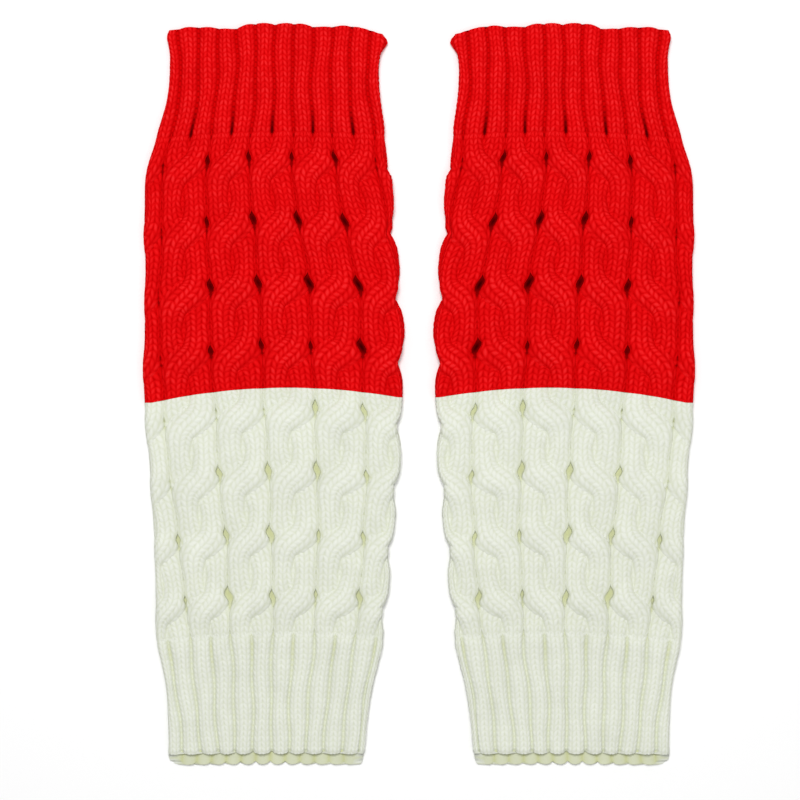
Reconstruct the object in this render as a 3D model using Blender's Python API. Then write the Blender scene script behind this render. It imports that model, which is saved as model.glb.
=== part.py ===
"""A pair of knitted leg warmers, laid flat side by side: red at the knee, cream at the ankle.

Each one is a tube of cloth, open at both ends, that lies flat, so its front rests on its back.
A ribbed cuff runs at either end, and twelve cables run round the stretch between them. The ankle
hems lie towards -Y. The right leg warmer is the mirror image of the left one.
"""

import math
from collections import namedtuple

import bmesh
import bpy
import numpy as np

MM = 0.001

# Where the pair lies, and how far its knitted stretches stay apart
LEG_CENTRE = 77.2 * MM
SEAM_GAP = 0.3 * MM

# The ends of the stretches, along the leg's centre line
KNEE_HEM = 200 * MM
COLOUR_LINE = 3.7 * MM
FRONT_ANKLE_HEM = -193.5 * MM
BACK_ANKLE_HEM = -199.6 * MM
HEM_REACH = 30 * MM
LIP_REACH = 9 * MM

# The cables: two strands that change sides once in each row of cells
CELL_ROWS = 8
CELL_LENGTH = 33.7 * MM
FIRST_CROSSING = 123.7 * MM
KNEE_CUFF_END = FIRST_CROSSING + CELL_LENGTH / 2
ANKLE_CUFF_START = KNEE_CUFF_END - CELL_ROWS * CELL_LENGTH
CUFF_BLEND = 7 * MM
CROSSING_SHARPNESS = 2.0

# How high ribs and strands stand, and how high a strand rises over the other
RIB_HEIGHT = 2.0 * MM
STRAND_HEIGHT = 2.6 * MM
STRAND_LIFT = 1.4 * MM

# Widths as shares of one cable's width
STRAND_OFFSET = 0.25
RIB_HALF_WIDTH = 0.185
STRAND_HALF_WIDTH = 0.29
CROSSING_SPREAD = 0.10
ROUNDNESS = 0.65

MERGE_SHARPNESS = 4

# The groove between two cables, and the pit in it just above each crossing, as shares of a cell
GROOVE_HALF_WIDTH = 0.16
GROOVE_DEPTH = 0.35
PIT_HALF_LENGTH = 0.12
PIT_ABOVE_CROSSING = 0.07

# How finely the cloth is drawn: column lines between cables are counted from the first on the front
POINTS_A_CABLE = 6
FRONT_CABLES = 4.5
POINTS_A_FOLD = 6
OUTER_TO_INNER_POINTS = 3
ROWS_A_CELL = 8
CUFF_ROWS = 8
INNER_ROWS = 3
SHARP_ANGLE = math.radians(60)

# The empty slot between the two panels, and the cloth round it at each fold
SLOT_MIDDLE = 3.2 * MM
SLOT_HALF = 0.4 * MM
FOLD_WALL = 6.0 * MM

# Each crossing draws the right fold in, so that edge is a row of scallops
NOTCH_DEPTH = 3.2 * MM
SCALLOP_ROUNDNESS = 0.7

# How the rows of stitches sag towards both folds: a curve per metre, round its highest place
SAG = 1.5
SAG_MIDDLE = 7 * MM
SAG_EDGE = 66 * MM

# The outline of the left leg warmer in mm, each edge measured from its centre line
Section = namedtuple("Section", "along left right thick")
OUTLINE = (
    Section(-200, -58.6, 47.8, 7.4),
    Section(-175, -58.4, 50.0, 7.4),
    Section(-157, -59.6, 53.0, 7.4),
    Section(-145, -62.0, 56.0, 7.6),
    Section(-133, -64.6, 59.0, 8.4),
    Section(-117, -65.2, 61.8, 9.5),
    Section(-96, -65.2, 63.8, 9.8),
    Section(-62, -67.0, 66.8, 9.8),
    Section(-32, -69.2, 69.8, 9.8),
    Section(-2, -71.6, 70.6, 9.8),
    Section(35, -71.2, 71.4, 9.8),
    Section(68, -70.8, 68.6, 9.8),
    Section(95, -71.4, 66.2, 9.8),
    Section(114, -70.6, 65.4, 9.8),
    Section(127, -68.2, 62.8, 9.6),
    Section(141, -64.0, 60.0, 8.5),
    Section(157, -59.2, 57.8, 7.5),
    Section(178, -57.4, 56.8, 7.4),
    Section(186, -57.4, 57.6, 7.4),
    Section(192, -58.2, 59.8, 7.4),
    Section(197, -58.9, 61.2, 7.4),
    Section(200, -57.8, 59.4, 7.4),
)

# Where the first column line lies at each height, and how wide a cable is there, in mm
Columns = namedtuple("Columns", "along first cable")
COLUMNS = (
    Columns(-200, -40.2, 18.8),
    Columns(-160, -43.2, 20.4),
    Columns(-133, -46.0, 22.2),
    Columns(-107, -48.5, 23.4),
    Columns(-74, -52.0, 24.9),
    Columns(-40, -56.8, 26.4),
    Columns(-7, -59.4, 26.8),
    Columns(26, -61.8, 27.0),
    Columns(59, -62.4, 26.8),
    Columns(94, -61.4, 24.6),
    Columns(127, -60.0, 22.9),
    Columns(143, -56.3, 21.8),
    Columns(168, -51.5, 20.2),
    Columns(200, -52.4, 20.8),
)

# The wavy knee hem as it lies, in mm
Hem = namedtuple("Hem", "across along")
KNEE_HEM_LINE = (
    Hem(-59, 194.6),
    Hem(-50, 197.4),
    Hem(-36, 197.8),
    Hem(-22, 197.2),
    Hem(-14, 199.6),
    Hem(0, 199.8),
    Hem(13, 199.8),
    Hem(21, 198.3),
    Hem(42, 198.3),
    Hem(54, 195.2),
    Hem(62, 191.4),
)

# The yarns
RED = (0.78, 0.006, 0.008)
CREAM = (0.78, 0.82, 0.68)
YARN_ROUGHNESS = 0.9


def curve_through(table, column, place):
    """Reads a column of a table anywhere along its first column, on a smooth curve through the rows."""
    places = np.array([row[0] for row in table]) * MM
    values = np.array([getattr(row, column) for row in table]) * MM
    slopes = np.gradient(values, places)
    place = min(max(place, places[0]), places[-1])
    row = min(max(int(np.searchsorted(places, place)) - 1, 0), len(table) - 2)
    length = places[row + 1] - places[row]
    part = (place - places[row]) / length
    ease = part * part * (3 - 2 * part)
    leaving = slopes[row] * part * (1 - part) ** 2
    arriving = slopes[row + 1] * part * part * (part - 1)
    return float(values[row] + (values[row + 1] - values[row]) * ease + length * (leaving + arriving))


def step(value):
    """Rises smoothly from 0 to 1 as the value does."""
    value = min(max(value, 0.0), 1.0)
    return value * value * (3 - 2 * value)


def sag(along, across):
    """How far a row of stitches hangs towards the ankle at a place across the leg."""
    return SAG * (1 - (along / KNEE_HEM) ** 2) * (across - SAG_MIDDLE) ** 2


def cable_share(along):
    """1 between the cuffs and 0 in them, with a soft change at each cuff."""
    below_knee_cuff = step(0.5 + (KNEE_CUFF_END - along) / (2 * CUFF_BLEND))
    above_ankle_cuff = step(0.5 + (along - ANKLE_CUFF_START) / (2 * CUFF_BLEND))
    return below_knee_cuff * above_ankle_cuff


def crossings_from_first(along):
    """Where a row lies among the crossings: 0 at the first, 1 at the next. It stays put in the cuffs."""
    crossings = (FIRST_CROSSING - along) / CELL_LENGTH
    return min(max(crossings, -0.5), CELL_ROWS - 0.5)


def deepest_relief(along):
    """How far the highest rib or crossing stands out of the ground between the cables."""
    return RIB_HEIGHT + (STRAND_HEIGHT + STRAND_LIFT - RIB_HEIGHT) * cable_share(along)


def strand_back(column, middle, half_width):
    """The height of a strand's rounded back at a place across it, from 0 to 1."""
    return max(1 - ((column - middle) / half_width) ** 2, 0) ** ROUNDNESS


def relief(column, along):
    """How far the ribs or cables stand out of the ground at a column line and a row."""
    cable = cable_share(along)
    crossings = crossings_from_first(along)
    swing = math.tanh(CROSSING_SHARPNESS * math.sin(math.pi * crossings)) / math.tanh(CROSSING_SHARPNESS)
    over = math.cos(math.pi * crossings)
    height = RIB_HEIGHT + (STRAND_HEIGHT - RIB_HEIGHT) * cable
    half_width = RIB_HALF_WIDTH + (STRAND_HALF_WIDTH - RIB_HALF_WIDTH) * cable + CROSSING_SPREAD * abs(over)
    heights = 0
    for neighbour in (-1, 0, 1):
        cable_middle = math.floor(column) + 0.5 + neighbour
        for strand in (-1, 1):
            back = strand_back(column, cable_middle + strand * STRAND_OFFSET * swing, half_width)
            rise = height * back - strand * STRAND_LIFT * over * cable
            if back > 0 and rise > 0:
                heights += (rise / MM) ** MERGE_SHARPNESS
    off_line = abs(column - round(column)) / GROOVE_HALF_WIDTH
    off_row = (crossings - round(crossings) + PIT_ABOVE_CROSSING) / PIT_HALF_LENGTH
    pit = max(GROOVE_DEPTH, math.exp(-off_row * off_row))
    return heights ** (1 / MERGE_SHARPNESS) * MM * (1 - cable * pit * (1 - step(off_line)))


def lie_of_row(along):
    """A row's two outline edges, its folds' radius, its first column line and its cables' width."""
    scallop = abs(math.sin(math.pi * crossings_from_first(along))) ** SCALLOP_ROUNDNESS
    left = curve_through(OUTLINE, "left", along - sag(along, -SAG_EDGE))
    right = curve_through(OUTLINE, "right", along - sag(along, SAG_EDGE))
    right -= NOTCH_DEPTH * (1 - scallop) * cable_share(along)
    radius = curve_through(OUTLINE, "thick", along) / 2
    return left, right, radius, curve_through(COLUMNS, "first", along), curve_through(COLUMNS, "cable", along)


def row_columns(along):
    """The columns of a row's points, from the left fold's lower edge over the front to the right one's."""
    left, right, radius, first, cable = lie_of_row(along)
    left_end = (left + radius - first - math.pi * radius) / cable
    right_end = (right - radius - first + math.pi * radius) / cable
    front_points = round(FRONT_CABLES * POINTS_A_CABLE)
    left_fold = [left_end * (1 - index / POINTS_A_FOLD) for index in range(POINTS_A_FOLD)]
    front = [index / POINTS_A_CABLE for index in range(front_points)]
    right_share = (right_end - FRONT_CABLES) / POINTS_A_FOLD
    right_fold = [FRONT_CABLES + right_share * index for index in range(POINTS_A_FOLD + 1)]
    return left_fold + front + right_fold


def place_along(along, across, lip):
    """How far along the leg a row's point lies, at a place across it. The lip is 1 on the back panel."""
    knee_share = step((along - KNEE_HEM + HEM_REACH) / HEM_REACH)
    lip_share = lip * step((FRONT_ANKLE_HEM + LIP_REACH - along) / LIP_REACH)
    knee_wave = curve_through(KNEE_HEM_LINE, "along", across) - KNEE_HEM
    lip_drop = lip_share * (BACK_ANKLE_HEM - FRONT_ANKLE_HEM)
    return along - sag(along, across) + knee_share * knee_wave + lip_drop


def cloth_point(column, along):
    """The point of the cloth's outer face at a column line and a row, and its partner on the inner face."""
    left, right, radius, first, cable = lie_of_row(along)
    across = first + column * cable

    # Past a fold's start the cloth bends down round it, to the face that it rests on.
    side = -1 if across < left + radius else 1
    left_fold, right_fold = left + radius, right - radius
    fold = left_fold if side < 0 else right_fold
    bend = min(max(side * (across - fold) / radius, 0), math.pi)
    if bend > 0:
        across = fold + side * radius * math.sin(bend)
    height = radius + radius * math.cos(bend)
    depth = (deepest_relief(along) - relief(column, along)) * step(height / radius)
    lip = step(1 - height / radius)

    middle = (left + right) / 2
    inner_across = middle + (across - middle) * (1 - FOLD_WALL / (right - middle))
    inner_height = SLOT_MIDDLE + SLOT_HALF * math.cos(bend)
    place, inner_place = (
        place_along(along, min(max(value, left_fold), right_fold), lip) for value in (across, inner_across)
    )
    outer = (across - side * math.sin(bend) * depth, place, height - math.cos(bend) * depth)
    return outer, (inner_across, inner_place, inner_height)


def outer_ring(along):
    """The outer points of one row."""
    return [cloth_point(column, along)[0] for column in row_columns(along)]


def inner_ring(along):
    """The inner points of one row: one for every few outer points."""
    return [cloth_point(column, along)[1] for column in row_columns(along)[::OUTER_TO_INNER_POINTS]]


def even_rows(start, end, count):
    """Rows from one end of a stretch to the other, evenly spaced."""
    return [start + (end - start) * index / count for index in range(count + 1)]


def cable_rows(start, end):
    """Rows that meet every crossing, and both ends of a stretch of cables."""
    pitch = CELL_LENGTH / ROWS_A_CELL
    grid = [KNEE_CUFF_END - index * pitch for index in range(CELL_ROWS * ROWS_A_CELL + 1)]
    between = [along for along in grid if end + pitch / 4 < along < start - pitch / 4]
    return [start, *between, end]


def add_rings(bm, rings):
    """Adds each ring's points, and the faces from each ring to the next."""
    loops = [[bm.verts.new(point) for point in ring] for ring in rings]
    for ring, following in zip(loops, loops[1:]):
        for index in range(len(ring)):
            after = (index + 1) % len(ring)
            bm.faces.new((ring[after], following[after], following[index], ring[index]))
    return loops


def close_end(bm, outer, inner):
    """Closes the cloth at an open end, from its outer face to its inner face."""
    faces = [bm.faces.new((outer[-1], outer[0], inner[0], inner[-1]))]
    for index in range(len(inner) - 1):
        start = index * OUTER_TO_INNER_POINTS
        facing = outer[start : start + OUTER_TO_INNER_POINTS + 1]
        faces.append(bm.faces.new((*facing, inner[index + 1], inner[index])))
    bmesh.ops.triangulate(bm, faces=faces)


def yarn(name, colour):
    """A matt wool-like yarn."""
    material = bpy.data.materials.new(name)
    material.use_nodes = True
    surface = material.node_tree.nodes["Principled BSDF"]
    surface.inputs["Base Color"].default_value = (*colour, 1)
    surface.inputs["Roughness"].default_value = YARN_ROUGHNESS
    surface.inputs["Metallic"].default_value = 0
    return material


def make_stretch(name, side, rows, material, collection):
    """One knitted stretch of a leg warmer: a flat tube with its ribs or cables raised on the outer face."""
    bm = bmesh.new()
    outer = add_rings(bm, [outer_ring(along) for along in rows])
    inner = add_rings(bm, [inner_ring(along) for along in even_rows(rows[0], rows[-1], INNER_ROWS)])
    close_end(bm, outer[0], inner[0])
    close_end(bm, outer[-1], inner[-1])
    bmesh.ops.scale(bm, vec=(-side, 1, 1), verts=bm.verts)
    bmesh.ops.recalc_face_normals(bm, faces=bm.faces)
    mesh = bpy.data.meshes.new(name)
    bm.to_mesh(mesh)
    bm.free()
    mesh.shade_smooth()
    mesh.set_sharp_from_angle(angle=SHARP_ANGLE)
    mesh.materials.append(material)
    stretch = bpy.data.objects.new(name, mesh)
    stretch.location.x = side * LEG_CENTRE
    collection.objects.link(stretch)


def make_leg_warmer(name, side, collection):
    """The four stretches of one leg warmer, from the knee hem to the ankle hem."""
    half_gap = SEAM_GAP / 2
    stretches = {
        "knee_cuff": (even_rows(KNEE_HEM, KNEE_CUFF_END + half_gap, CUFF_ROWS), RED),
        "upper_cable": (cable_rows(KNEE_CUFF_END - half_gap, COLOUR_LINE + half_gap), RED),
        "lower_cable": (cable_rows(COLOUR_LINE - half_gap, ANKLE_CUFF_START + half_gap), CREAM),
        "ankle_cuff": (even_rows(ANKLE_CUFF_START - half_gap, FRONT_ANKLE_HEM, CUFF_ROWS), CREAM),
    }
    for stretch, (rows, colour) in stretches.items():
        node = f"{name}_{stretch}"
        make_stretch(node, side, rows, yarn(f"{node}_yarn", colour), collection)


for existing in list(bpy.data.objects):
    bpy.data.objects.remove(existing)
leg_warmers = bpy.data.collections.new("leg_warmers")
bpy.context.scene.collection.children.link(leg_warmers)
make_leg_warmer("left", -1, leg_warmers)
make_leg_warmer("right", 1, leg_warmers)
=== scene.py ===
import math
from collections import namedtuple

import bmesh
import bpy
import numpy as np
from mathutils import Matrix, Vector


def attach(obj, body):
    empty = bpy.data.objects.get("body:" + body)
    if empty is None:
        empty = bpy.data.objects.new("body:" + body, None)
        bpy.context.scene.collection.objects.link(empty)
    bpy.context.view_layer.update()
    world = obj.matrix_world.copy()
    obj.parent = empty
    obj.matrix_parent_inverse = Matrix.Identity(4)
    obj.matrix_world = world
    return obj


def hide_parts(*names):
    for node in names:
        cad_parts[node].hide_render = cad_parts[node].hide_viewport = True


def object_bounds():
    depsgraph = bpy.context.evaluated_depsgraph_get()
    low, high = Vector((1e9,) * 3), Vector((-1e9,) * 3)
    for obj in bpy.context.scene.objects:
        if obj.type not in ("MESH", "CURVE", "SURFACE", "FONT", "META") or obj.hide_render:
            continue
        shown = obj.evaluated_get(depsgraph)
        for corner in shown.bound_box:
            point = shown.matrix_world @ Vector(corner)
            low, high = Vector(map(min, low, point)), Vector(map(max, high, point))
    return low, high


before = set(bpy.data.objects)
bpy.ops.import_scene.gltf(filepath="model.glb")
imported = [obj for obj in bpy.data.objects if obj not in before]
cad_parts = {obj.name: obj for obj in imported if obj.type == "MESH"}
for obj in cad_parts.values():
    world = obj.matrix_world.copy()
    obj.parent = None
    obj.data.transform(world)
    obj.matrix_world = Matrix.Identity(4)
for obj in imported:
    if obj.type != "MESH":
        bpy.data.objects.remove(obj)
cad_low, cad_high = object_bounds()


# Knee cuffs
# Each leg warmer starts here: a round of red acrylic yarn, knitted in knit-two purl-two rib, so the
# knitted pairs stand up as ribs and the purled pairs sink between them. The cast-on hem flares and waves.
MM = 0.001

LEG_CENTRE = 77.2 * MM
KNEE_HEM = 200 * MM
COLOUR_LINE = 3.7 * MM
FRONT_ANKLE_HEM = -193.5 * MM
BACK_ANKLE_HEM = -199.6 * MM
HEM_REACH = 30 * MM
LIP_REACH = 9 * MM
CELL_ROWS = 8
CELL_LENGTH = 33.7 * MM
FIRST_CROSSING = 123.7 * MM
KNEE_CUFF_END = FIRST_CROSSING + CELL_LENGTH / 2
ANKLE_CUFF_START = KNEE_CUFF_END - CELL_ROWS * CELL_LENGTH
CUFF_BLEND = 7 * MM

# How high ribs and strands stand, and how high a strand rises over the other
RIB_HEIGHT = 2.0 * MM
STRAND_HEIGHT = 2.6 * MM
STRAND_LIFT = 1.4 * MM

# Widths as shares of one cable's width
STRAND_OFFSET = 0.25
RIB_HALF_WIDTH = 0.22
RIB_BACK_HALF_WIDTH = 0.228
STRAND_HALF_WIDTH = 0.29
ROUNDNESS = 0.65
CABLES_ROUND = 12

# The empty slot between the two panels, and the cloth round it at each fold
SLOT_MIDDLE = 3.2 * MM
SLOT_HALF = 0.4 * MM
FOLD_WALL = 6.0 * MM

# Each crossing draws the right fold in, so that edge is a row of scallops
NOTCH_DEPTH = 4.0 * MM
SCALLOP_ROUNDNESS = 0.7

# How the rows of stitches sag towards both folds: a curve per metre, round its highest place
SAG = 1.5
SAG_MIDDLE = 7 * MM
SAG_EDGE = 66 * MM

# The outline of the left leg warmer in mm, each edge measured from its centre line
Section = namedtuple("Section", "along left right thick")
OUTLINE = (
    Section(-200, -58.6, 47.8, 7.4),
    Section(-175, -58.4, 50.0, 7.4),
    Section(-157, -59.6, 53.0, 7.4),
    Section(-145, -62.0, 56.0, 7.6),
    Section(-133, -64.6, 59.0, 8.4),
    Section(-117, -65.2, 61.8, 9.5),
    Section(-96, -65.2, 63.8, 9.8),
    Section(-62, -67.0, 66.8, 9.8),
    Section(-32, -69.2, 69.8, 9.8),
    Section(-2, -71.6, 70.6, 9.8),
    Section(35, -71.2, 71.4, 9.8),
    Section(68, -70.8, 68.6, 9.8),
    Section(95, -71.4, 66.2, 9.8),
    Section(114, -70.6, 65.4, 9.8),
    Section(127, -68.2, 62.8, 9.6),
    Section(141, -64.0, 60.0, 8.5),
    Section(157, -59.2, 57.8, 7.5),
    Section(178, -57.4, 56.8, 7.4),
    Section(186, -57.4, 57.6, 7.4),
    Section(192, -58.2, 59.8, 7.4),
    Section(197, -58.9, 61.2, 7.4),
    Section(200, -57.8, 59.4, 7.4),
)

# Where the first column line lies at each height, and how wide a cable is there, in mm
Columns = namedtuple("Columns", "along first cable")
COLUMNS = (
    Columns(-200, -40.2, 18.8),
    Columns(-160, -43.2, 20.4),
    Columns(-133, -46.0, 22.2),
    Columns(-107, -48.5, 23.4),
    Columns(-74, -52.0, 24.9),
    Columns(-40, -56.8, 26.4),
    Columns(-7, -59.4, 26.8),
    Columns(26, -61.8, 27.0),
    Columns(59, -62.4, 26.8),
    Columns(94, -61.4, 24.6),
    Columns(127, -60.0, 22.9),
    Columns(143, -56.3, 21.8),
    Columns(168, -51.5, 20.2),
    Columns(200, -52.4, 20.8),
)

# The wavy knee hem as it lies, in mm
Hem = namedtuple("Hem", "across along")
KNEE_HEM_LINE = (
    Hem(-59, 194.6),
    Hem(-50, 197.4),
    Hem(-36, 197.8),
    Hem(-22, 197.2),
    Hem(-14, 199.6),
    Hem(0, 199.8),
    Hem(13, 199.8),
    Hem(21, 198.3),
    Hem(42, 198.3),
    Hem(54, 195.2),
    Hem(62, 191.4),
)


def curve_through(table, column, place):
    """Reads a column of a table at places along its first column, on a smooth curve through the rows."""
    places = np.array([row[0] for row in table]) * MM
    values = np.array([getattr(row, column) for row in table]) * MM
    slopes = np.gradient(values, places)
    place = np.clip(place, places[0], places[-1])
    row = np.clip(np.searchsorted(places, place) - 1, 0, len(table) - 2)
    length = places[row + 1] - places[row]
    part = (place - places[row]) / length
    ease = part * part * (3 - 2 * part)
    leaving = slopes[row] * part * (1 - part) ** 2
    arriving = slopes[row + 1] * part * part * (part - 1)
    return values[row] + (values[row + 1] - values[row]) * ease + length * (leaving + arriving)


def step(value):
    """Rises smoothly from 0 to 1 as the value does."""
    value = np.clip(value, 0, 1)
    return value * value * (3 - 2 * value)


def sag(along, across):
    """How far a row of stitches hangs towards the ankle at a place across the leg."""
    return SAG * (1 - (along / KNEE_HEM) ** 2) * (across - SAG_MIDDLE) ** 2


def cable_share(along):
    """1 between the cuffs and 0 in them, with a soft change at each cuff."""
    below_knee_cuff = step(0.5 + (KNEE_CUFF_END - along) / (2 * CUFF_BLEND))
    above_ankle_cuff = step(0.5 + (along - ANKLE_CUFF_START) / (2 * CUFF_BLEND))
    return below_knee_cuff * above_ankle_cuff


def blend_of(in_cuff, in_cable, along):
    """A size that has one value in the cuffs and another between them."""
    return in_cuff + (in_cable - in_cuff) * cable_share(along)


def ground_depth(along):
    """How deep the ground between ribs or cables lies below the highest rib or crossing."""
    return blend_of(RIB_HEIGHT, STRAND_HEIGHT + STRAND_LIFT, along)


def crossings_at(along):
    """Where a row lies among the crossings: 0 at the first, 1 at the next."""
    return np.clip((FIRST_CROSSING - along) / CELL_LENGTH, -0.5, CELL_ROWS - 0.5)


def panel_edges(along):
    """The outline's left and right edge at a row. The right one is notched beside each crossing."""
    scallop = np.abs(np.sin(np.pi * crossings_at(along))) ** SCALLOP_ROUNDNESS
    left = curve_through(OUTLINE, "left", along - sag(along, -SAG_EDGE))
    right = curve_through(OUTLINE, "right", along - sag(along, SAG_EDGE))
    return left, right - NOTCH_DEPTH * (1 - scallop) * cable_share(along)


def place_along(along, across, lip):
    """How far along the leg a row's point lies, at a place across it. The lip is 1 on the back panel."""
    knee_share = step((along - KNEE_HEM + HEM_REACH) / HEM_REACH)
    lip_share = lip * step((FRONT_ANKLE_HEM + LIP_REACH - along) / LIP_REACH)
    knee_wave = curve_through(KNEE_HEM_LINE, "along", across) - KNEE_HEM
    lip_drop = lip_share * (BACK_ANKLE_HEM - FRONT_ANKLE_HEM)
    return along - sag(along, across) + knee_share * knee_wave + lip_drop


# How much of its relief the cloth keeps on the back panel, pressed flat, and stretched round the left fold
PRESSED = 0.4
STRETCHED = 0.25

# How far the columns of stitches wander from straight: waves, with their lengths and turns round the leg
WANDER = 0.35 * MM
Wave = namedtuple("Wave", "length turns")
WAVES = (Wave(70 * MM, 5), Wave(35 * MM, -7))


def wander(column, along):
    """How far a column of stitches lies off its straight line at a row."""
    around = column / CABLES_ROUND
    return WANDER * sum(np.sin(2 * np.pi * (along / wave.length + wave.turns * around)) for wave in WAVES)


def lay_cloth(column, along, depth):
    """Points of a leg warmer's outer face: the column line and row of each, and its depth below the top."""
    column, along, depth = np.broadcast_arrays(column, along, depth)
    left, right = panel_edges(along)
    radius = curve_through(OUTLINE, "thick", along) / 2
    first = curve_through(COLUMNS, "first", along)
    cable = curve_through(COLUMNS, "cable", along)
    left_fold, right_fold = left + radius, right - radius

    # Past a fold's start the cloth bends down round it, and runs on under the leg warmer
    left_end = (left_fold - first - np.pi * radius) / cable
    right_end = (right_fold - first + np.pi * radius) / cable
    cable_below = (right_fold - left_fold) / (CABLES_ROUND - (right_end - left_end))
    below = np.maximum(np.maximum(left_end - column, column - right_end), 0) * cable_below
    across = first + column * cable + wander(column, along)
    side = np.where(across < left_fold, -1, 1)
    fold = np.where(side < 0, left_fold, right_fold)
    bend = np.clip(side * (across - fold) / radius, 0, np.pi)
    across = np.where(bend > 0, fold + side * (radius * np.sin(bend) - below), across)
    height = radius + radius * np.cos(bend)
    depth = depth * (PRESSED + (1 - PRESSED) * step(height / radius))
    depth = depth * np.where(side < 0, 1 - (1 - STRETCHED) * np.sin(bend), 1)
    place = place_along(along, np.clip(across, left_fold, right_fold), step(1 - height / radius))
    return np.stack([across - side * np.sin(bend) * depth, place, height - np.cos(bend) * depth], axis=-1)


def lay_lining(column, along, rise):
    """Points of the cloth's inner face, beside the slot between the two panels. The rise is into the slot."""
    outer = lay_cloth(column, along, 0)
    radius = curve_through(OUTLINE, "thick", along) / 2
    left, right = panel_edges(along)
    middle = (left + right) / 2
    across = middle + (outer[..., 0] - middle) * (1 - FOLD_WALL / (right - middle))
    facing = np.clip(outer[..., 2] / radius - 1, -1, 1)
    lip = step(-facing)
    place = place_along(along, np.clip(across, left + radius, right - radius), lip)
    return np.stack([across, place, SLOT_MIDDLE + (SLOT_HALF - rise) * facing], axis=-1)


# A knitted stitch is a V of two slanting legs of yarn, one stitch in each round of each wale
STITCH_RELIEF = 0.75 * MM
LEG_RISE = 0.4
LEG_TILT = 0.3
LEG_HALF_WIDTH = 0.51
LEG_ROUNDNESS = 0.8
CREASE_HEIGHT = 0.4
STITCH_ROWS = (0.0, 0.2, 0.5, 0.8)

# No two legs are quite alike. How far the smallest falls short of the largest, the legs round the tube,
# with eight in a cable's width, and rounds enough for the tube's length
UNEVENNESS = 0.35
LEGS_ROUND = 8 * CABLES_ROUND
COURSES_ALONG = 192
STITCH_SEED = 5
random_stitches = np.random.default_rng(STITCH_SEED)
stitch_sizes = random_stitches.uniform(1 - UNEVENNESS, 1, (LEGS_ROUND, COURSES_ALONG))

# Painted shade: how light the yarn is painted down in a crease, and how much painted shade darkens it in a
# recess, in the purl between ribs and in a hole
CREASE_SHADED_TONE = 0.25
RECESS_SHADE = 0.3
PURL_SHADE = 0.2
HOLE_SHADE = 0.95

# The groove line between two cables gets painted shade too, over a share of a cable's width to either side
LINE_SHADE = 0.35
LINE_HALF_WIDTH = 0.035

# The hole that opens between two cables just above each crossing, as shares of a cable and of a cell
HOLE_ABOVE_CROSSING = 0.13
HOLE_HALF_LENGTH = 0.11
HOLE_SHADE_WIDTH = 0.08
HOLE_SLANTS = (0.2, 0.7)
HOLE_SIZES = (0.7, 1.15)
HOLE_SHIFT = 0.03
hole_slants = random_stitches.uniform(*HOLE_SLANTS, (CABLES_ROUND, CELL_ROWS))
hole_sizes = random_stitches.uniform(*HOLE_SIZES, (CABLES_ROUND, CELL_ROWS))
hole_shifts = random_stitches.uniform(-HOLE_SHIFT, HOLE_SHIFT, (CABLES_ROUND, CELL_ROWS))

# Beside either fold the cloth lies slack, so the holes hardly open in six rows of cells, and open a
# little below them. In the first row below the colour line two more hardly open
LINES_AT_FOLDS = (0, 5)
SLACK_ROWS = 6
SLACK_HOLE_SIZE = 0.35
LOWER_HOLE_SIZE = 0.75
LINES_AT_COLOUR_LINE = (1, 2)
ROW_AT_COLOUR_LINE = 4
for line in LINES_AT_FOLDS:
    hole_sizes[line, :SLACK_ROWS] *= SLACK_HOLE_SIZE
    hole_sizes[line, SLACK_ROWS:] *= LOWER_HOLE_SIZE
for line in LINES_AT_COLOUR_LINE:
    hole_sizes[line, ROW_AT_COLOUR_LINE] *= SLACK_HOLE_SIZE

# Painted shade in the slot between two ribs that share a cable: how far into each cuff it is widest, how it
# runs out towards the hem and towards the cables, how wide it is, and how dark it is at the ankle cuff
SLOT_IN_KNEE_CUFF = 1.5 * MM
SLOT_IN_ANKLE_CUFF = 5.0 * MM
SLOT_TO_HEM = 11 * MM
SLOT_TO_CABLES = 3 * MM
SLOT_WIDTH = 0.042
ANKLE_SLOT_SHARE = 0.5


def stitch_height(wale, course, leg_rise):
    """How high a stitch's yarn stands at places counted in wales and courses, from 0 to 1."""
    off_middle = 2 * np.abs(wale - np.floor(wale) - 0.5)
    phase = course - leg_rise * off_middle
    part = phase - np.floor(phase)
    off_leg = (off_middle - 0.5 - LEG_TILT * (part - 0.5)) / LEG_HALF_WIDTH
    leg = np.maximum(1 - off_leg**2, 0) ** LEG_ROUNDNESS
    bulge = CREASE_HEIGHT + (1 - CREASE_HEIGHT) * np.sin(np.pi * part) ** LEG_ROUNDNESS
    leg_number = np.floor(2 * wale).astype(int) % LEGS_ROUND
    course_number = np.floor(phase).astype(int) % COURSES_ALONG
    return leg * bulge * stitch_sizes[leg_number, course_number]


def hole_opening(column, along):
    """How wide the nearest hole is at a row, from 0 to 1, and how far it leans there, in cables."""
    crossings = crossings_at(along)
    hole = np.round(column).astype(int) % CABLES_ROUND, np.round(crossings).astype(int) % CELL_ROWS
    below = crossings - np.round(crossings) + HOLE_ABOVE_CROSSING + hole_shifts[hole]
    size = hole_sizes[hole]
    opened = size * np.exp(-((below / (HOLE_HALF_LENGTH * size)) ** 2)) * cable_share(along)
    return opened, hole_slants[hole] * below


def slot_share(column, along):
    """Painted shade of a slot between two ribs that share a cable: 1 in its middle, falling to 0 round it."""
    into_knee_cuff = along - KNEE_CUFF_END - SLOT_IN_KNEE_CUFF
    into_cuff = np.maximum(into_knee_cuff, ANKLE_CUFF_START - along - SLOT_IN_ANKLE_CUFF)
    reach = np.where(into_cuff > 0, SLOT_TO_HEM, SLOT_TO_CABLES)
    beside = (column - np.floor(column) - 0.5) / SLOT_WIDTH
    darkest = np.where(along > 0, 1, ANKLE_SLOT_SHARE)
    return darkest * np.exp(-((into_cuff / reach) ** 2) - beside**2)


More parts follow.
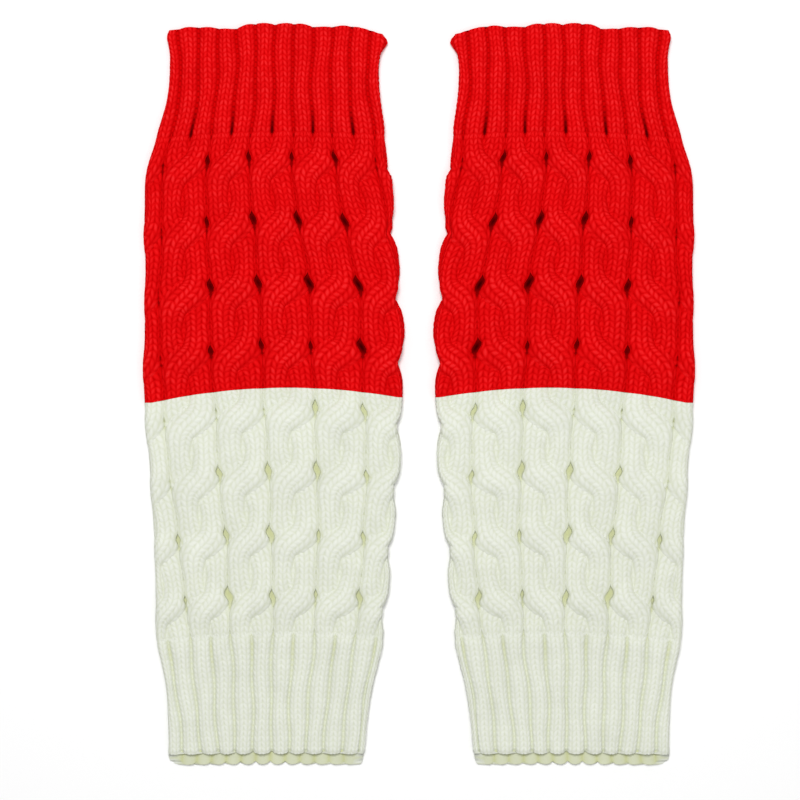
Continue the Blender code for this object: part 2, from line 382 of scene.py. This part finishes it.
def hole_share(column, along):
    """1 in the middle of a hole or of a slot, falling to 0 round it."""
    opened, lean = hole_opening(column, along)
    hole = opened * np.exp(-(((column - np.round(column) - lean) / HOLE_SHADE_WIDTH) ** 2))
    return np.maximum(hole, slot_share(column, along))


def painted_light_of(height, depth, column, along):
    """Painted shade and highlight of the yarn, from 0 deep in a hole to 1 on a stitch's crown."""
    sunk = np.clip(depth / ground_depth(along), 0, 1)
    # Painted shade in creases and recesses, a painted highlight on crowns, and more painted shade on the line
    # between cables and in holes and slots
    painted_light = (CREASE_SHADED_TONE + (1 - CREASE_SHADED_TONE) * height) * (1 - RECESS_SHADE * sunk)
    off_line = (column - np.round(column)) / LINE_HALF_WIDTH
    on_line = np.exp(-(off_line**2)) * cable_share(along)
    return painted_light * (1 - LINE_SHADE * on_line) * (1 - HOLE_SHADE * hole_share(column, along))


# Points of two rows or columns that lie closer than this are the same point
SAME_POINT = 0.002 * MM


def purl_height(course):
    """How high the cross bars of the purled ground stand, from 0 to 1."""
    return np.abs(np.sin(np.pi * course))


def rows_of_courses(start, end, course_length, steps):
    """The courses' rows of points, and one course beyond either end, as the stitches slant."""
    courses = math.ceil((start - end) / course_length)
    return np.array([course + part for course in range(-2, courses + 2) for part in steps])


def add_points(bm, places, painted_lights):
    """Adds a grid of points at their own places, each with its painted shade and highlight."""
    rows, columns = painted_lights.shape
    made = bmesh.ops.create_grid(bm, x_segments=columns - 1, y_segments=rows - 1, size=1)
    layer = bm.verts.layers.float["yarn_painted_light"]
    for vert, place, painted_light in zip(made["verts"], places.reshape(-1, 3), painted_lights.ravel()):
        vert.co = place
        vert[layer] = painted_light
    bmesh.ops.remove_doubles(bm, verts=made["verts"], dist=SAME_POINT)


# Where the yarn turns back under itself, its edge stays crisp
TURNED_UNDER = math.radians(100)


def finish_piece(bm, name, side, material):
    """Makes the piece's object on its side of the pair, turned outwards and shaded smooth."""
    bmesh.ops.scale(bm, vec=(-side, 1, 1), verts=bm.verts)
    bmesh.ops.translate(bm, vec=(side * LEG_CENTRE, 0, 0), verts=bm.verts)
    bmesh.ops.recalc_face_normals(bm, faces=bm.faces)
    mesh = bpy.data.meshes.new(name)
    bm.to_mesh(mesh)
    bm.free()
    mesh.shade_smooth()
    mesh.set_sharp_from_angle(angle=TURNED_UNDER)
    mesh.materials.append(material)
    piece = bpy.data.objects.new(name, mesh)
    bpy.context.scene.collection.objects.link(piece)
    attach(piece, "root")
    return piece


# Ribs and strands run a little way into each other at a cuff's end, the one sinking under the other
SEAM_REACH = 4 * MM
SEAM_SINK = 0.9 * MM
VALLEY_SINK = 0.6 * MM

# A rib's points across: four legs of two knitted wales, then the sunk purl between two ribs. Fewer points
# draw the ribs that lie beneath.
RIBS_ROUND = 2 * CABLES_ROUND
RIB_LEG_PARTS = 3
RIB_PURL_PARTS = 4
RIB_LEG_PARTS_BENEATH = 1
RIB_PURL_PARTS_BENEATH = 2
FIRST_RIB = -7
SHOWN_RIBS = range(-3, 12)
RIB_WALES = 2
RIB_COURSE = 2.95 * MM
RIB_LEG_RISE = 0.35

# How high the purl stands beside the knit, and up to which part of a rib's back it and its valley reach
PURL_HEIGHT = 0.5
PURL_EDGE = 1 / 3
VALLEY_EDGE = 2 / 3

# At a hem the ribs stand out a little past the purl between them, and the edge is rounded
KNEE_SCALLOP = 0.4 * MM
ANKLE_SCALLOP = 1.4 * MM
SCALLOP_REACH = 6 * MM

# Where the front panel lies at the hems, in cables: its middle, half its width, and its folds. The inner
# face's ribs lie half a rib on from the outer face's.
FRONT_MIDDLE = 1.9
FRONT_HALF_WIDTH = 2.65
FOLD_CABLES = 0.5
RIB_SHIFT = 0.25

HEM_ROUND = 2.0 * MM
HEM_SINK = 0.7 * MM

# The inner face: its rows, how deep its own valleys are, and how dark painted shade leaves these and its ribs
LINING_ROWS = 24
LINING_RELIEF = 0.6 * MM
LINING_VALLEY_SHADED_TONE = 0.0
LINING_RIB_SHADED_TONE = 0.18


def rib_columns():
    """The columns of points round a cuff, in cables: two ribs to a cable, and the wale of each point."""
    columns, wales = [], []
    purl_width = 0.5 - 2 * RIB_HALF_WIDTH
    for rib in range(FIRST_RIB, FIRST_RIB + RIBS_ROUND):
        middle = (rib + 0.5) / 2
        shown = rib in SHOWN_RIBS
        knit_parts = 2 * RIB_WALES * (RIB_LEG_PARTS if shown else RIB_LEG_PARTS_BENEATH)
        purl_parts = RIB_PURL_PARTS if shown else RIB_PURL_PARTS_BENEATH
        for part in range(knit_parts):
            columns.append(middle + RIB_HALF_WIDTH * (2 * part / knit_parts - 1))
            wales.append(RIB_WALES * (rib + part / knit_parts))
        for part in range(purl_parts):
            columns.append(middle + RIB_HALF_WIDTH + purl_width * part / purl_parts)
            wales.append(RIB_WALES * (rib + 1))
    columns.append(columns[0] + CABLES_ROUND)
    wales.append(wales[0] + RIB_WALES * RIBS_ROUND)
    return np.array(columns), np.array(wales)


def past_cables(along):
    """1 where a row lies in a cuff and 0 where it lies among the cables, with a change at the seam."""
    into_cables = np.minimum(KNEE_CUFF_END - along, along - ANKLE_CUFF_START)
    return step(0.5 - into_cables / (2 * SEAM_REACH))


def rib_back(columns, along):
    """A rib's rounded back, from 0 to 1. It widens into a strand where the cables begin."""
    off_rib = (2 * columns - np.floor(2 * columns) - 0.5) / 2
    half_width = blend_of(RIB_BACK_HALF_WIDTH, STRAND_HALF_WIDTH, along)
    return np.maximum(1 - (off_rib / half_width) ** 2, 0) ** ROUNDNESS


def at_hem(along, reach):
    """1 at a row of the ankle hem and of the knee hem, falling to 0 over a reach."""
    return step(1 - (along - FRONT_ANKLE_HEM) / reach), step(1 - (KNEE_HEM - along) / reach)


def scalloped(columns, along):
    """Draws a hem in between two ribs: those of the outer face in front, and of the inner face behind."""
    behind = step((np.abs(columns - FRONT_MIDDLE) - FRONT_HALF_WIDTH) / FOLD_CABLES)
    outer_gap, inner_gap = 1 - rib_back(columns, along), 1 - rib_back(columns + RIB_SHIFT, along)
    gap = outer_gap + (inner_gap - outer_gap) * behind
    ankle, knee = at_hem(along, SCALLOP_REACH)
    return along + gap * (ANKLE_SCALLOP * ankle - KNEE_SCALLOP * knee)


def make_cuff(name, side, start, end, material):
    """A ribbed cuff, from its row nearest the knee to the one nearest the ankle."""
    columns, wales = rib_columns()
    rows = rows_of_courses(start, end, RIB_COURSE, STITCH_ROWS)
    off_middle = 2 * np.abs(wales - np.floor(wales) - 0.5)
    courses = -rows[:, None] + RIB_LEG_RISE * (off_middle - 0.5)
    along = np.clip(start + courses * RIB_COURSE, end, start)
    courses = (along - start) / RIB_COURSE

    # Each rib rounds over its wales. The purl sinks between it and the next, and its stitches stand half
    # as high as the knitted ones
    back = rib_back(columns, along)
    rise = blend_of(RIB_HEIGHT, STRAND_HEIGHT, along) * back
    knitted = step(back / PURL_EDGE)
    knit_height = stitch_height(wales, courses, RIB_LEG_RISE)
    height = knitted * knit_height + (1 - knitted) * PURL_HEIGHT * purl_height(courses)
    depth = ground_depth(along) - rise + STITCH_RELIEF * (1 - height) * (1 + knitted) / 2
    depth = depth + VALLEY_SINK * (1 - step(back / VALLEY_EDGE)) * (1 - cable_share(along))
    # The yarn gets painted shade in creases, recesses, the purl and the slots, and a painted highlight on
    # stitch crowns
    painted_light = painted_light_of(height, depth, columns, along)
    painted_light = painted_light * (1 - PURL_SHADE * (1 - knitted) * (1 - cable_share(along)))
    depth = depth + HEM_SINK * sum(at_hem(along, HEM_ROUND)) + SEAM_SINK * (1 - past_cables(along))
    outer = lay_cloth(columns, scalloped(columns, along), depth)

    # The inner face has the rib's other side, whose ribs lie where the outer face has its valleys
    around_rows = np.linspace(0, np.pi, LINING_ROWS)
    inner_along = end + (start - end) * (1 - np.cos(around_rows))[:, None] / 2 + 0 * columns
    off_inner_rib = 2 * columns - np.round(2 * columns)
    inner_back = np.maximum(1 - (2 * off_inner_rib) ** 2, 0) ** ROUNDNESS
    inner = lay_lining(columns, scalloped(columns, inner_along), LINING_RELIEF * (inner_back - 1))
    # The inside of the back panel is painted dark as shade, darkest in its valleys
    inner_painted_shade = LINING_VALLEY_SHADED_TONE + (LINING_RIB_SHADED_TONE - LINING_VALLEY_SHADED_TONE) * inner_back + 0 * inner_along
    places = np.concatenate([outer, inner, outer[:1]])
    painted_lights = np.concatenate([painted_light, inner_painted_shade, painted_light[:1]])
    bm = bmesh.new()
    bm.verts.layers.float.new("yarn_painted_light")
    add_points(bm, places, painted_lights)
    return finish_piece(bm, name, side, material)


def linear(hex_colour):
    """An sRGB colour such as #E60F12 as linear red, green, blue and alpha."""
    channels = [int(hex_colour[place : place + 2], 16) / 255 for place in (1, 3, 5)]
    return (*[c / 12.92 if c <= 0.04045 else ((c + 0.055) / 1.055) ** 2.4 for c in channels], 1)


def add_node(tree, kind, inputs, **settings):
    """Adds a shader node, with its settings, and its inputs either set or linked."""
    node = tree.nodes.new(kind)
    for name, value in settings.items():
        setattr(node, name, value)
    for name, value in inputs.items():
        if isinstance(value, bpy.types.NodeSocket):
            tree.links.new(value, node.inputs[name])
        else:
            node.inputs[name].default_value = value
    return node


# Spun acrylic has no shine, only a faint bloom where its fuzz catches the light at a rim
YARN_ROUGHNESS = 0.85
FUZZ_SHEEN = 0.06
SHEEN_ROUGHNESS = 0.5

# Single fibres are finer than the render shows, so the fuzz is drawn as coarse as it needs to show
FUZZ_SIZE = 0.35 * MM
FUZZ_HEIGHT = 0.15 * MM
FUZZ_STRENGTH = 0.35
FUZZ_DETAIL = 3.0

# The dye takes a little more in one patch than in the next
DYE_PATCH = 14 * MM
DYE_DETAIL = 2.0
DYE_DARKEST = 0.93
DYE_LIGHTEST = 1.07

# Along the painted light, from painted shade deep in a hole to a painted highlight on a stitch's crown, where
# the crease's painted shade and the yarn's body colour lie
CREASE_PLACE = 0.25
BODY_PLACE = 0.6


def acrylic_yarn(name, hole_shade_colour, crease_shade_colour, body, crown_highlight_colour):
    """Soft, matt spun acrylic yarn: painted shade where stitches tuck in, a painted highlight on its crown.
    """
    material = bpy.data.materials.new(name)
    material.use_nodes = True
    tree = material.node_tree
    surface = tree.nodes["Principled BSDF"]
    surface.inputs["Roughness"].default_value = YARN_ROUGHNESS
    surface.inputs["Specular IOR Level"].default_value = 0.0
    surface.inputs["Sheen Weight"].default_value = FUZZ_SHEEN
    surface.inputs["Sheen Roughness"].default_value = SHEEN_ROUGHNESS
    surface.inputs["Sheen Tint"].default_value = linear(crown_highlight_colour)
    # Reads each point's painted shade and highlight
    height = add_node(tree, "ShaderNodeAttribute", {}, attribute_name="yarn_painted_light").outputs["Fac"]
    place = add_node(tree, "ShaderNodeTexCoord", {}).outputs["Object"]
    patches = add_node(
        tree, "ShaderNodeTexNoise", {"Vector": place, "Scale": 1 / DYE_PATCH, "Detail": DYE_DETAIL}
    )
    # From the hole's painted shade through the crease's painted shade and the body colour to the crown's
    # painted highlight
    ramp = add_node(tree, "ShaderNodeValToRGB", {"Fac": height})
    ramp.color_ramp.elements[0].color = linear(hole_shade_colour)
    ramp.color_ramp.elements[1].color = linear(crown_highlight_colour)
    ramp.color_ramp.elements.new(CREASE_PLACE).color = linear(crease_shade_colour)
    ramp.color_ramp.elements.new(BODY_PLACE).color = linear(body)
    value = add_node(
        tree,
        "ShaderNodeMapRange",
        {"Value": patches.outputs["Fac"], "To Min": DYE_DARKEST, "To Max": DYE_LIGHTEST},
    )
    dyed_and_shaded = add_node(
        tree,
        "ShaderNodeHueSaturation",
        {"Color": ramp.outputs["Color"], "Value": value.outputs["Result"]},
    )
    tree.links.new(dyed_and_shaded.outputs["Color"], surface.inputs["Base Color"])
    fibres = add_node(
        tree, "ShaderNodeTexNoise", {"Vector": place, "Scale": 1 / FUZZ_SIZE, "Detail": FUZZ_DETAIL}
    )
    fuzz = add_node(
        tree,
        "ShaderNodeBump",
        {"Height": fibres.outputs["Fac"], "Strength": FUZZ_STRENGTH, "Distance": FUZZ_HEIGHT},
    )
    tree.links.new(fuzz.outputs["Normal"], surface.inputs["Normal"])
    return material


# Bright red acrylic, spun soft: matt and even on the ribs, with deeper red painted shade in the creases,
# maroon painted shade in the holes and a lighter red painted highlight on the crowns
red_yarn = acrylic_yarn("red_acrylic_yarn", "#3A0001", "#C00204", "#DE0F12", "#EE2C2E")

SIDES = ((-1, "left"), (1, "right"))
for side, leg in SIDES:
    name = f"{leg}_knee_cuff"
    cuff = make_cuff(
        f"{name}_knit", side, KNEE_HEM, KNEE_CUFF_END - SEAM_REACH, red_yarn
    )
    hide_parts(name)


# Red cables
# Below the cuff the same yarn is knitted into twelve cables. In each, two strands of three wales swap
# sides every twelve rounds, and the same one of the two always passes in front.
STRAND_WALES = 3
STRAND_ROUNDNESS = 0.75
INNER_ROUNDNESS = 1.2
COURSES_A_CELL = 12
CROSSING_SHARPNESS = 2.0
CROSSING_SPREAD = 0.09
STRAND_ROOT = 0.7 * MM
EDGE_RELIEF = 0.4
GROUND_SINK = 0.6 * MM
GROUND_RELIEF = 0.4 * MM
HOLE_SINK = 0.5 * MM

# How far a cable's strands reach from its middle, and how much less beside a hole, as shares of a cable
CABLE_EDGE = 0.55
HOLE_HALF_WIDTH = 0.115
EDGE_SQUEEZE = 10

# The ground's points across a cable, close together where it shows between two cables
GROUND_COLUMNS = np.array([0, 0.03, 0.06, 0.1, 0.3, 0.5, 0.7, 0.9, 0.94, 0.97])

# The ground's inner face is plain, so a few rows draw it, and its yarn is painted dark there as shade
GROUND_LINING_ROWS = 8
GROUND_LINING_SHADED_TONE = 0.1

# How finely strands are drawn: those that show from above, and those pressed flat beneath
Fineness = namedtuple("Fineness", "leg_parts under_parts rows")
SHOWN = Fineness(3, 2, STITCH_ROWS)
BENEATH = Fineness(2, 2, (0.0, 0.5))
FIRST_CABLE = -4
SHOWN_CABLES = range(-1, 6)

# A strand's length of yarn is measured between this many points of its middle line
LENGTH_POINTS = 1600


def strand_swing(along):
    """Which side of its cable a strand lies on, from -1 to 1."""
    turned = np.tanh(CROSSING_SHARPNESS * np.sin(np.pi * crossings_at(along)))
    return turned / math.tanh(CROSSING_SHARPNESS)


def squeeze(cable, across, along):
    """Keeps a strand's points inside its cable's own edges, and opens the holes."""
    opened, lean = hole_opening(cable + 0.5 + across, along)
    lean = lean * opened
    reach = np.abs(across - lean) / (CABLE_EDGE - HOLE_HALF_WIDTH * opened)
    return cable + 0.5 + lean + (across - lean) / (1 + reach**EDGE_SQUEEZE) ** (1 / EDGE_SQUEEZE)


def add_strand(bm, cable, sign, start, end, fineness):
    """One strand of a cable, as a flattened tube of knitting from its first row to its last."""
    # The strand's middle line across the cable, and the length of yarn along it
    line = np.linspace(start, end, LENGTH_POINTS)
    pitch = curve_through(COLUMNS, "cable", line)
    middle = sign * STRAND_OFFSET * strand_swing(line) * pitch
    lengths = np.concatenate([[0], np.cumsum(np.hypot(np.diff(line), np.diff(middle)))])
    slope = np.gradient(middle, lengths)
    cells = (start - end) / CELL_LENGTH
    course_length = lengths[-1] / (cells * COURSES_A_CELL)

    # Round the strand: its knitted back from edge to edge, then its plain underside
    back_parts = 2 * STRAND_WALES * fineness.leg_parts
    back = np.linspace(-1, 1, back_parts + 1)
    under = np.linspace(1, -1, fineness.under_parts + 1)[1:-1]
    around = np.concatenate([back, under, back[:1]])
    on_back = (np.arange(len(around)) <= back_parts) | (np.arange(len(around)) == len(around) - 1)
    wale = (around + 1) / 2 * STRAND_WALES
    off_middle = np.where(on_back, 2 * np.abs(wale - np.floor(wale) - 0.5), 1)
    rows = rows_of_courses(lengths[-1], 0, course_length, fineness.rows)
    wanted = (rows[:, None] - LEG_RISE * (off_middle - 0.5)) * course_length
    length = np.clip(wanted, 0, lengths[-1])
    course = -length / course_length

    # Each point's place across and along the cloth
    centre_along = np.interp(length, lengths, line)
    beneath = sign * np.cos(np.pi * crossings_at(centre_along)) * cable_share(centre_along)
    half_width = blend_of(RIB_HALF_WIDTH, STRAND_HALF_WIDTH, centre_along)
    half_width = half_width + CROSSING_SPREAD * np.abs(beneath)
    half_width = half_width * np.interp(length, lengths, pitch)
    turn = np.arcsin(np.clip(np.interp(length, lengths, slope), -1, 1))
    across = np.interp(length, lengths, middle) + around * half_width * np.cos(turn)
    along = np.clip(centre_along + around * half_width * np.sin(turn), end, start)
    column = squeeze(cable, across / curve_through(COLUMNS, "cable", along), along)

    # Its back is domed and carries the stitches. It slopes gently to the cable's middle, steeply to its
    # edge, and dips under the other strand or rises over it.
    inner_side = np.clip(-around * sign * strand_swing(centre_along), 0, 1) * cable_share(centre_along)
    dome = np.maximum(1 - around**2, 0) ** (STRAND_ROUNDNESS + INNER_ROUNDNESS * inner_side)
    rise = blend_of(RIB_HEIGHT, STRAND_HEIGHT, along) - STRAND_LIFT * beneath * np.abs(beneath)
    height = stitch_height(wale + STRAND_WALES * (2 * cable + sign), course, LEG_RISE)
    relief = STITCH_RELIEF * (1 - height) * (EDGE_RELIEF + (1 - EDGE_RELIEF) * dome)
    on_ground = ground_depth(along) + np.where(on_back, relief - rise * dome, STRAND_ROOT)
    places = lay_cloth(column, along, on_ground + SEAM_SINK * past_cables(along))
    # Painted shade in creases, recesses and holes, and a painted highlight on the crowns
    add_points(bm, places, painted_light_of(height, on_ground, column, along))


def make_strands(name, side, start, end, material):
    """All the strands of one stretch of cables, joined into one piece."""
    bm = bmesh.new()
    bm.verts.layers.float.new("yarn_painted_light")
    for cable in range(FIRST_CABLE, FIRST_CABLE + CABLES_ROUND):
        for sign in (-1, 1):
            add_strand(bm, cable, sign, start, end, SHOWN if cable in SHOWN_CABLES else BENEATH)
    open_ends = [edge for edge in bm.edges if edge.is_boundary]
    bmesh.ops.holes_fill(bm, edges=open_ends, sides=0)
    return finish_piece(bm, name, side, material)


def make_ground(name, side, start, end, material):
    """The purled cloth behind the cables, that closes the tube between them."""
    course_length = CELL_LENGTH / COURSES_A_CELL
    lines = np.arange(FIRST_CABLE, FIRST_CABLE + CABLES_ROUND)[:, None]
    columns = np.append((lines + GROUND_COLUMNS).ravel(), FIRST_CABLE + CABLES_ROUND)
    rows = np.arange(start, end, -course_length / 2)
    along = np.append(rows, end)[:, None] + 0 * columns
    height = purl_height((along - start) / course_length)
    depth = ground_depth(along) + GROUND_SINK - GROUND_RELIEF * height
    # The ground gets painted shade by how deep it lies, along the line between cables and in the holes
    painted_light = painted_light_of(0, depth, columns, along)
    outer = lay_cloth(columns, along, depth + HOLE_SINK * hole_share(columns, along))
    inner_along = np.linspace(end, start, GROUND_LINING_ROWS)[:, None] + 0 * columns
    inner = lay_lining(columns, inner_along, 0)
    places = np.concatenate([outer, inner, outer[:1]])
    painted_lights = np.concatenate([painted_light, np.full(inner_along.shape, GROUND_LINING_SHADED_TONE), painted_light[:1]])
    bm = bmesh.new()
    bm.verts.layers.float.new("yarn_painted_light")
    add_points(bm, places, painted_lights)
    return finish_piece(bm, name, side, material)


def make_cables(leg, side, stretch, start, end, material):
    """One stretch of cables: its ground, its strands, and what they stand for."""
    name = f"{leg}_{stretch}"
    ground = make_ground(f"{name}_ground", side, start, end, material)
    strand_start = start + (SEAM_REACH if start == KNEE_CUFF_END else 0)
    strand_end = end - (SEAM_REACH if end == ANKLE_CUFF_START else 0)
    strands = make_strands(f"{name}_strands", side, strand_start, strand_end, material)
    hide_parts(name)


for side, leg in SIDES:
    make_cables(leg, side, "upper_cable", KNEE_CUFF_END, COLOUR_LINE, red_yarn)


# Cream cables
# The lower stretch of each leg warmer is the same acrylic yarn in cream. At the colour line the knitter
# changes from one yarn to the other and works the same twelve cables on down, so nothing is sewn there.

# Cream acrylic, as soft and matt as the red: pale all over, with grey-green painted shade in creases and
# holes and a paler painted highlight on the crowns
cream_yarn = acrylic_yarn("cream_acrylic_yarn", "#C4C898", "#D2D6C2", "#DEE1D6", "#E5E8DD")

for side, leg in SIDES:
    make_cables(leg, side, "lower_cable", COLOUR_LINE, ANKLE_CUFF_START, cream_yarn)


# Ankle cuffs
# The cream cuff closes the leg warmer in the same rib as the knee cuff, and is bound off at the hem.
# Its back lies a little lower than its front, so the inside of the back shows below the front hem.
for side, leg in SIDES:
    name = f"{leg}_ankle_cuff"
    cuff = make_cuff(
        f"{name}_knit", side, ANKLE_CUFF_START + SEAM_REACH, FRONT_ANKLE_HEM, cream_yarn
    )
    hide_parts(name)


# Floor, light and camera
# The leg warmers lie on a broad white board under two soft lamps and an even studio light. They are seen
# from straight above, as in the photograph.
FLOOR_HALF_WIDTH = 3
bm = bmesh.new()
bmesh.ops.create_grid(bm, x_segments=1, y_segments=1, size=FLOOR_HALF_WIDTH)
mesh = bpy.data.meshes.new("floor")
bm.to_mesh(mesh)
bm.free()
floor = bpy.data.objects.new("floor", mesh)
bpy.context.scene.collection.objects.link(floor)

# Board with a rolled matt paint: even and nearly white, with no reflections and only soft shadows
BOARD_ROUGHNESS = 0.9
paint = bpy.data.materials.new("matt_white_board")
paint.use_nodes = True
paint.node_tree.nodes["Principled BSDF"].inputs["Base Color"].default_value = linear("#FAFAFA")
paint.node_tree.nodes["Principled BSDF"].inputs["Roughness"].default_value = BOARD_ROUGHNESS
mesh.materials.append(paint)

# The studio's even light, and the two lamps, with sizes and heights in metres and powers in watts
STUDIO_STRENGTH = 0.35
world = bpy.data.worlds.new("studio")
world.use_nodes = True
world.node_tree.nodes["Background"].inputs["Color"].default_value = (1, 1, 1, 1)
world.node_tree.nodes["Background"].inputs["Strength"].default_value = STUDIO_STRENGTH
bpy.context.scene.world = world

Lamp = namedtuple("Lamp", "name x y z size power")
for lamp in (Lamp("key", -0.12, 0.45, 1.5, 0.5, 17), Lamp("fill", 0.5, -0.5, 1.6, 1.2, 5)):
    light = bpy.data.lights.new(lamp.name, "AREA")
    light.size = lamp.size
    light.energy = lamp.power
    holder = bpy.data.objects.new(lamp.name, light)
    holder.location = (lamp.x, lamp.y, lamp.z)
    holder.rotation_mode = "QUATERNION"
    holder.rotation_quaternion = holder.location.to_track_quat("Z", "Y")
    bpy.context.scene.collection.objects.link(holder)

# The photograph's frame is 429 mm wide, and its middle lies a little to the left of and below the pair's
LENS = 85
SENSOR = 36
FRAME_WIDTH = 428.9 * MM
FRAME_CENTRE = (-10.2 * MM, -2.9 * MM)
camera = bpy.data.cameras.new("camera")
camera.lens = LENS
camera.sensor_width = SENSOR
holder = bpy.data.objects.new("camera", camera)
holder.location = (*FRAME_CENTRE, FRAME_WIDTH * LENS / SENSOR + cad_high.z)
bpy.context.scene.collection.objects.link(holder)
bpy.context.scene.camera = holder
bpy.context.scene.view_settings.view_transform = "Standard"
